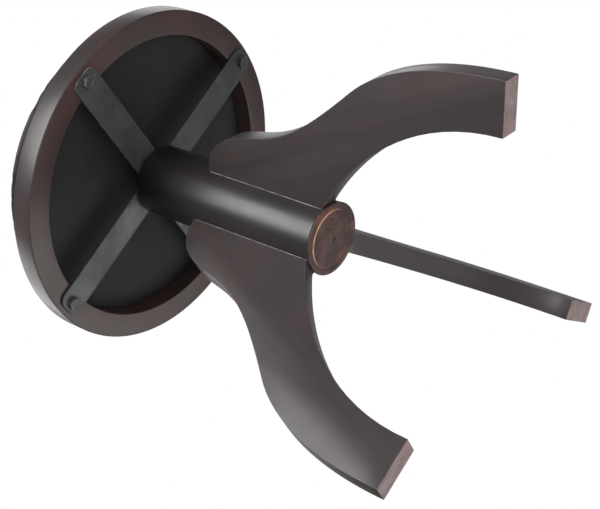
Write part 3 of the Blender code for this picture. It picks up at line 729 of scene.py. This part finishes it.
def makeSeam(name, direction):
    half = legThickness / 2
    chord = sqrt(postRadius ** 2 - half ** 2)
    low, high = capLow.z + seamStyle["overCap"], legHigh.z - seamStyle["clear"]
    rows = seamStyle["rows"]
    bm = bmesh.new()
    for side in (-1, 1):
        strip = []
        for k in range(rows + 1):
            z = low + (high - low) * k / rows
            wide = seamStyle["width"] * (0.8 + 0.35 * noise.noise(Vector((z * 60, side * 3.1, direction))))
            points = ((chord - wide, half - 0.0001), (chord - wide * 0.6, half + wide * 0.75),
                      (chord + wide * 0.1, half + wide * 0.45), (chord + wide * 0.5, half - 0.0001))
            strip.append([bm.verts.new((x, side * y, z)) for x, y in points])
        for one, two in zip(strip, strip[1:]):
            for i in range(3):
                bm.faces.new((one[i], two[i], two[i + 1], one[i + 1]))
    bmesh.ops.recalc_face_normals(bm, faces=bm.faces)
    bm.transform(Matrix.Translation(axis) @ Matrix.Rotation(radians(direction), 4, "Z"))
    mesh = bpy.data.meshes.new("seam_" + name)
    bm.to_mesh(mesh)
    bm.free()
    mesh.shade_smooth()
    mesh.materials.append(seamHighlightLook)
    seam = bpy.data.objects.new("seam_" + name, mesh)
    scene.collection.objects.link(seam)
    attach(seam, "base")


# steel straps and their bolts
strapStyle = {"corner": 0.012, "width": 0.0343, "edge": 0.0006, "direction": 27.5, "half": 0.184,
              "thickness": 0.0025, "joggleStart": 0.0225, "joggleRun": 0.0095}


def makeStrap(name, direction, drop, node):
    half, side, corner = strapStyle["half"], strapStyle["width"] / 2, strapStyle["corner"]
    outline = eased([(half, -side, corner), (half, side, corner), (-half, side, corner),
                     (-half, -side, corner)], 10)
    low = strapHigh.z - strapStyle["thickness"]
    bm = plank(outline, low, strapHigh.z, strapStyle["edge"])
    start, run = strapStyle["joggleStart"], strapStyle["joggleRun"]
    # the joggle: cut across in narrow slices, then let down by an S-curve
    if drop:
        for sign in (-1, 1):
            for k in range(-4, 13):
                bmesh.ops.bisect_plane(bm, geom=[*bm.verts, *bm.edges, *bm.faces], dist=0.000001,
                                       plane_co=(sign * (start + run * k / 8), 0, 0), plane_no=(1, 0, 0))
        for vert in bm.verts:
            t = min(1, max(0, (abs(vert.co.x) - start) / run))
            vert.co.z -= drop * (1 - t * t * (3 - 2 * t))
    bm.transform(Matrix.Translation(axis) @ Matrix.Rotation(radians(direction), 4, "Z"))
    return newPiece(name, bm, "seat", blackSteel, [node], 30)


boltStyle = {"apothem": 0.0065, "chamfer": 25.0, "face": 0.93, "dish": 0.0002, "clear": 0.0003, "steps": 72,
             "turns": (8, 35, 22, 51)}


def makeBolt(number):
    node = f"seat_bolt_{number}"
    low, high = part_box(node)
    centre = (low + high) / 2
    top = strapLow.z - boltStyle["clear"]
    apothem = boltStyle["apothem"]
    flat = apothem * boltStyle["face"]
    slope = tan(radians(boltStyle["chamfer"]))
    bm = bmesh.new()
    steps = boltStyle["steps"]
    rows = []
    for k in range(steps):
        turn = tau * k / steps
        within = (turn % (pi / 3)) - pi / 6
        wide = apothem / cos(within)
        face, dish = low.z, low.z + boltStyle["dish"]
        rows.append([
            (0.0, dish), (flat * 0.55, dish), (flat * 0.6, face), (flat, face),
            (wide, face + (wide - flat) * slope), (wide, top), (0.0, top),
        ])
    spin = Matrix.Rotation(radians(boltStyle["turns"][number - 1]), 4, "Z")
    spin = Matrix.Translation((centre.x, centre.y, 0)) @ spin
    verts = []
    for k, row in enumerate(rows):
        turn = tau * k / steps
        verts.append([bm.verts.new((r * cos(turn), r * sin(turn), z)) for r, z in row])
    for k in range(steps):
        one, two = verts[k], verts[(k + 1) % steps]
        for i in range(len(one) - 1):
            bm.faces.new((one[i], two[i], two[i + 1], one[i + 1]))
    bmesh.ops.remove_doubles(bm, verts=bm.verts, dist=0.000001)
    bmesh.ops.recalc_face_normals(bm, faces=bm.faces)
    bm.transform(spin)
    newPiece(f"hex_bolt_{number}", bm, "seat", blackSteel, [node], 22)


# base panel
panelStyle = {"steps": 128, "rings": 36, "fold": 0.0024}


def makePanel():
    radius = (panelHigh.x - panelLow.x) / 2
    rings = panelStyle["rings"]
    low, high = panelLow.z, panelHigh.z
    profile = [(0.0, high), (radius, high)] + [(radius * (1 - i / rings), low) for i in range(rings + 1)]
    bm = turned(profile, panelStyle["steps"], False)
    for vert in bm.verts:
        if vert.co.z < (low + high) / 2:
            away = hypot(vert.co.x, vert.co.y - axisY) / radius
            wave = noise.noise(Vector((vert.co.x * 9, vert.co.y * 17, 3.7)))
            wave += 0.5 * noise.noise(Vector((vert.co.x * 22, vert.co.y * 30, 8.1)))
            vert.co.z += panelStyle["fold"] * (0.6 + wave) * max(0, 1 - away ** 6)
    newPiece("panel", bm, "seat", panelCloth, ["base_panel"], 40)


# seat cushion
# reach: how far its edge stands over the ring's underside along the lean, by direction round the
# axis, as a share of the ring's radius
cushionStyle = {
    "voxel": 0.005, "pressure": 4.0, "frames": 20, "swell": 0.007, "cover": 0.0013, "hem": 0.002,
    "steps": 128, "rise": 24, "shoulder": 1.2, "uneven": 0.0022,
    "lean": 0.966, "edgeStart": 0.74, "edgeFull": 0.95, "bins": 72,
    "reach": ((-180, 0.139), (-130, 0.139), (-116, 0.149), (-108, 0.160), (-100, 0.166), (-88, 0.166),
              (-78, 0.158), (-70, 0.149), (-62, 0.141), (-55, 0.137), (-20, 0.137), (30, 0.145), (90, 0.150),
              (150, 0.145), (180, 0.139)),
    "pulls": 38, "pullDepth": 0.0006, "pullWidth": 0.0045,
}


def smoothShare(value, low, high):
    t = min(1.0, max(0.0, (value - low) / (high - low)))
    return t * t * (3 - 2 * t)


def reachAt(turn):
    points = cushionStyle["reach"]
    for (one, low), (two, high) in zip(points, points[1:]):
        if turn <= two:
            return low + (high - low) * (turn - one) / (two - one)
    return points[-1][1]


def fromAxis(point):
    return hypot(point.x, point.y - axisY), degrees(atan2(point.y - axisY, point.x))


def setRadius(point, radius):
    share = radius / max(1e-9, hypot(point.x, point.y - axisY))
    point.x *= share
    point.y = axisY + (point.y - axisY) * share


# the pad swells under its cover as cloth under pressure, held where it wraps the board
def swell(piece):
    style = cushionStyle
    mesh = piece.data
    held = piece.vertex_groups.new(name="held")
    held.add([v.index for v in mesh.vertices if v.co.z < boardHigh.z], 1.0, "REPLACE")
    cloth = piece.modifiers.new("swell", "CLOTH")
    cloth.settings.use_pressure = True
    cloth.settings.uniform_pressure_force = style["pressure"]
    cloth.settings.effector_weights.gravity = 0
    cloth.settings.vertex_group_mass = "held"
    for step in range(1, style["frames"] + 1):
        scene.frame_set(step)
    grown = [v.co.copy() for v in piece.evaluated_get(bpy.context.evaluated_depsgraph_get()).data.vertices]
    piece.modifiers.remove(cloth)
    for vert, target in zip(mesh.vertices, grown):
        move = target - vert.co
        if move.length > style["swell"]:
            move.length = style["swell"]
        vert.co += move
    scene.frame_set(1)


# holds the cover off the board's top, edge and lower corner
def clearBoard(mesh):
    thick = cushionStyle["cover"]
    boardRadius = (boardHigh.x - boardLow.x) / 2
    for vert in mesh.vertices:
        radius, _ = fromAxis(vert.co)
        if radius < boardRadius - 2 * thick:
            if vert.co.z > boardLow.z:
                vert.co.z = max(vert.co.z, boardHigh.z + thick)
        elif vert.co.z < boardHigh.z + thick * 0.5:
            setRadius(vert.co, max(radius, boardRadius + thick))
        elif radius < boardRadius + thick:
            over = smoothShare(radius, boardRadius - 2 * thick, boardRadius + thick)
            vert.co.z = max(vert.co.z, boardHigh.z + thick * (1 - over * 0.5))


# brings the edge in or out by direction
def trimEdge(mesh):
    style = cushionStyle
    count = style["bins"]
    found = [-1.0] * count
    for vert in mesh.vertices:
        radius, turn = fromAxis(vert.co)
        reach = vert.co.z - ringLow.z - (ringRadius - radius) * style["lean"]
        place = int((turn + 180) / 360 * count) % count
        found[place] = max(found[place], reach)
    change = [(reachAt(i * 360 / count - 180 + 180 / count) * ringRadius - found[i]) / style["lean"]
              for i in range(count)]
    for _ in range(3):
        change = [(change[i - 1] + change[i] * 2 + change[(i + 1) % count]) / 4 for i in range(count)]
    for vert in mesh.vertices:
        radius, turn = fromAxis(vert.co)
        place = (turn + 180) / 360 * count - 0.5
        first = int(place // 1)
        share = place - first
        shift = change[first % count] * (1 - share) + change[(first + 1) % count] * share
        shift *= smoothShare(radius / ringRadius, style["edgeStart"], style["edgeFull"])
        shift *= smoothShare(vert.co.z, boardLow.z, boardHigh.z)
        setRadius(vert.co, radius + shift)


# the cover is drawn under the board at uneven places, which leaves short valleys at its edge
def pullCover(mesh):
    style = cushionStyle
    chance = random.Random(7)
    pulls = []
    for k in range(style["pulls"]):
        turn = (k + chance.uniform(-0.3, 0.3)) * tau / style["pulls"]
        pulls.append((turn, chance.uniform(0.35, 1.0), chance.uniform(0.80, 0.88)))
    normals = [v.normal.copy() for v in mesh.vertices]
    for vert, normal in zip(mesh.vertices, normals):
        radius, _ = fromAxis(vert.co)
        if radius < 0.8 * ringRadius or normal.z < -0.3:
            continue
        own = atan2(vert.co.y - axisY, vert.co.x)
        depth = 0.0
        for turn, strength, start in pulls:
            aside = abs((own - turn + pi) % tau - pi) * radius
            if aside < 3 * style["pullWidth"]:
                inward = smoothShare(radius / ringRadius, start, 0.95)
                depth += strength * inward * exp(-(aside / style["pullWidth"]) ** 2)
        vert.co -= normal * style["pullDepth"] * depth


def makeCushion():
    style = cushionStyle
    edge = (boardHigh.x - boardLow.x) / 2 + style["cover"]
    low, hem = coverLow.z, style["hem"]
    crown = coverHigh.z - boardHigh.z - style["swell"]
    profile = [(0.0, low), (edge - hem, low), (edge - hem * 0.3, low + hem * 0.3), (edge, low + hem)]
    for i in range(style["rise"] + 1):
        turn = pi / 2 * i / style["rise"]
        profile.append((edge * cos(turn) ** style["shoulder"], boardHigh.z + crown * sin(turn)))
    bm = turned(profile, style["steps"], False)
    for vert in bm.verts:
        radius, _ = fromAxis(vert.co)
        if vert.co.z > boardHigh.z:
            uneven = noise.noise(Vector((vert.co.x * 11, vert.co.y * 11, 2.3)))
            vert.co.z += style["uneven"] * uneven * (1 - (radius / edge) ** 2)
    form = bpy.data.meshes.new("cushion_form")
    bm.to_mesh(form)
    bm.free()
    former = bpy.data.objects.new("cushion_form", form)
    scene.collection.objects.link(former)
    grid = former.modifiers.new("grid", "REMESH")
    grid.mode = "VOXEL"
    grid.voxel_size = style["voxel"]
    mesh = bpy.data.meshes.new_from_object(former.evaluated_get(bpy.context.evaluated_depsgraph_get()))
    bpy.data.objects.remove(former)
    bm = bmesh.new()
    bm.from_mesh(mesh)
    bpy.data.meshes.remove(mesh)
    cushion = newPiece("cushion", bm, "seat", seatVinyl, ["seat_cover", "seat_foam"], 75)
    swell(cushion)
    trimEdge(cushion.data)
    clearBoard(cushion.data)
    finer = cushion.modifiers.new("finer", "SUBSURF")
    finer.levels = finer.render_levels = 1
    smoother = bpy.data.meshes.new_from_object(cushion.evaluated_get(bpy.context.evaluated_depsgraph_get()))
    cushion.modifiers.remove(finer)
    cushion.data = smoother
    pullCover(cushion.data)
    clearBoard(cushion.data)
    cushion.data.shade_smooth()
    print("cushion: made,", len(cushion.data.polygons), "faces")


makeRing()
makePost()
makeCap()
makePricks()
for legName, legDirection in legStyle["directions"].items():
    makeLeg(legName, legDirection)
    makeSeam(legName, legDirection)
strapDrop = strapLow.z - joggledLow.z
makeStrap("strap_over", strapStyle["direction"], 0.0, "strap_straight")
lowerStrap = makeStrap("strap_under", strapStyle["direction"] + 90, strapDrop, "strap_joggled")
# its side faces are painted light, as bare steel: a painted highlight along this strap's edges only
lowerStrap.data.materials.append(strapEdgeHighlight)
for polygon in lowerStrap.data.polygons:
    if abs(polygon.normal.z) < 0.6:
        polygon.material_index = 1
for boltNumber in (1, 2, 3, 4):
    makeBolt(boltNumber)
makePanel()
makeCushion()
print("pieces: made")

# CAD nodes that stay, with their own finish
finishes = {
    "thrust_washer": nylonLook, "pivot_bush": nylonLook, "tie_rod": zincSteel, "lower_washer": zincSteel,
    "lower_nut": zincSteel, "upper_washer": zincSteel, "lock_nut": zincSteel, "seat_board": plywood,
}
for nodeName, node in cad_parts.items():
    look = finishes.get(nodeName)
    if nodeName.startswith("tee_nut"):
        look = zincSteel
    elif "dowel" in nodeName:
        look = beech
    if look and not node.hide_render:
        node.data.materials.clear()
        node.data.materials.append(look)

# camera
cameraStyle = {
    "place": (0.0890, -1.2118, -0.5650),
    "turn": (152.6448, 51.4320, 62.0343),
    "lens": 82.722,
}
cameraTurn = Euler([radians(angle) for angle in cameraStyle["turn"]])
camera = bpy.data.objects.new("camera", bpy.data.cameras.new("camera"))
camera.data.lens = cameraStyle["lens"]
camera.data.clip_end = 20
camera.matrix_world = Matrix.LocRotScale(Vector(cameraStyle["place"]), cameraTurn, None)
scene.collection.objects.link(camera)
scene.camera = camera
scene.view_settings.view_transform = "Standard"

# lights round the middle of the stool: azimuth, elevation and distance, then size and brightness
lightsRound = Vector((-0.0286, 0.0038, 0.2471))
lights = {
    "keySoftbox": {"from": (-83, 28, 1.6), "size": 1.15, "bright": 7.2},
    "sideSoftbox": {"from": (170, 44, 1.7), "size": 1.2, "bright": 2.1},
    "backdropGlow": {"from": (72, 38, 1.7), "size": 4.2, "bright": 0.20},
    "topGlow": {"from": (42, 44, 1.7), "size": 0.75, "bright": 1.5},
    "legGlow": {"from": (-64, -30, 0.90), "size": 0.6, "bright": 1.9, "mirrored": False},
    "lowSoftbox": {"from": (126, -47, 1.7), "size": 1.7, "bright": 1.55},
    "leftLow": {"from": (190, -38, 1.6), "size": 1.2, "bright": 0.5},
    "broadBelow": {"from": (-100, -80, 1.6), "size": 3.2, "bright": 0.70},
    "rightFill": {"from": (-20, -8, 1.6), "size": 1.4, "bright": 0.8},
}
for lightName, style in lights.items():
    data = bpy.data.lights.new(lightName, "AREA")
    data.shape = "DISK"
    data.size = style["size"]
    data.energy = style["bright"] * pi * pi * (style["size"] / 2) ** 2
    lamp = bpy.data.objects.new(lightName, data)
    azimuth, elevation, distance = style["from"]
    azimuth, elevation = radians(azimuth), radians(elevation)
    away = Vector((cos(azimuth) * cos(elevation), sin(azimuth) * cos(elevation), sin(elevation)))
    lamp.location = lightsRound + away * distance
    lamp.rotation_mode = "QUATERNION"
    lamp.rotation_quaternion = away.to_track_quat("Z", "Y")
    lamp.visible_camera = False
    lamp.visible_glossy = style.get("mirrored", True)
    scene.collection.objects.link(lamp)

# world: white to the camera, soft grey to everything else
world = bpy.data.worlds.new("studio")
scene.world = world
world.use_nodes = True
worldTree = world.node_tree
worldTree.nodes.clear()
paths = addNode(worldTree, "LightPath")
seen = addNode(worldTree, "Background", Color=(1, 1, 1, 1), Strength=1.0)
soft = addNode(worldTree, "Background", Color=(1.0, 0.99, 0.98, 1), Strength=0.11)
both = addNode(worldTree, "MixShader", i0=paths.outputs["Is Camera Ray"], i1=soft.outputs[0],
               i2=seen.outputs[0])
worldOut = worldTree.nodes.new("ShaderNodeOutputWorld")
worldTree.links.new(both.outputs[0], worldOut.inputs[0])

# floor, plain from above and open from below
floorReach = 4
corners = [(x * floorReach, y * floorReach, 0) for x, y in ((-1, -1), (1, -1), (1, 1), (-1, 1))]
floorMesh = bpy.data.meshes.new("floor")
floorMesh.from_pydata(corners, [], [(0, 1, 2, 3)])
floorPlane = bpy.data.objects.new("floor", floorMesh)
scene.collection.objects.link(floorPlane)
floorLook, floorTree, floorShader = newLook("paleFloor")
floorPlace = addNode(floorTree, "TexCoord").outputs["Object"]
floorCloud = remap(floorTree, noiseOf(floorTree, floorPlace, 2.0), 0.3, 0.7)
floorTree.links.new(mixColor(floorTree, floorCloud, (0.80, 0.80, 0.79, 1), (0.84, 0.84, 0.83, 1)),
                    floorShader.inputs["Base Color"])
floorShader.inputs["Roughness"].default_value = 0.9
facing = addNode(floorTree, "NewGeometry")
clear = addNode(floorTree, "BsdfTransparent")
floorMix = addNode(floorTree, "MixShader", i0=facing.outputs["Backfacing"], i1=floorShader.outputs[0],
                   i2=clear.outputs[0])
floorTree.links.new(floorMix.outputs[0], floorTree.nodes["Material Output"].inputs["Surface"])
floorMesh.materials.append(floorLook)
floorPlane.visible_shadow = False
floorPlane.visible_diffuse = False
floorPlane.visible_glossy = False
print("stage: set")
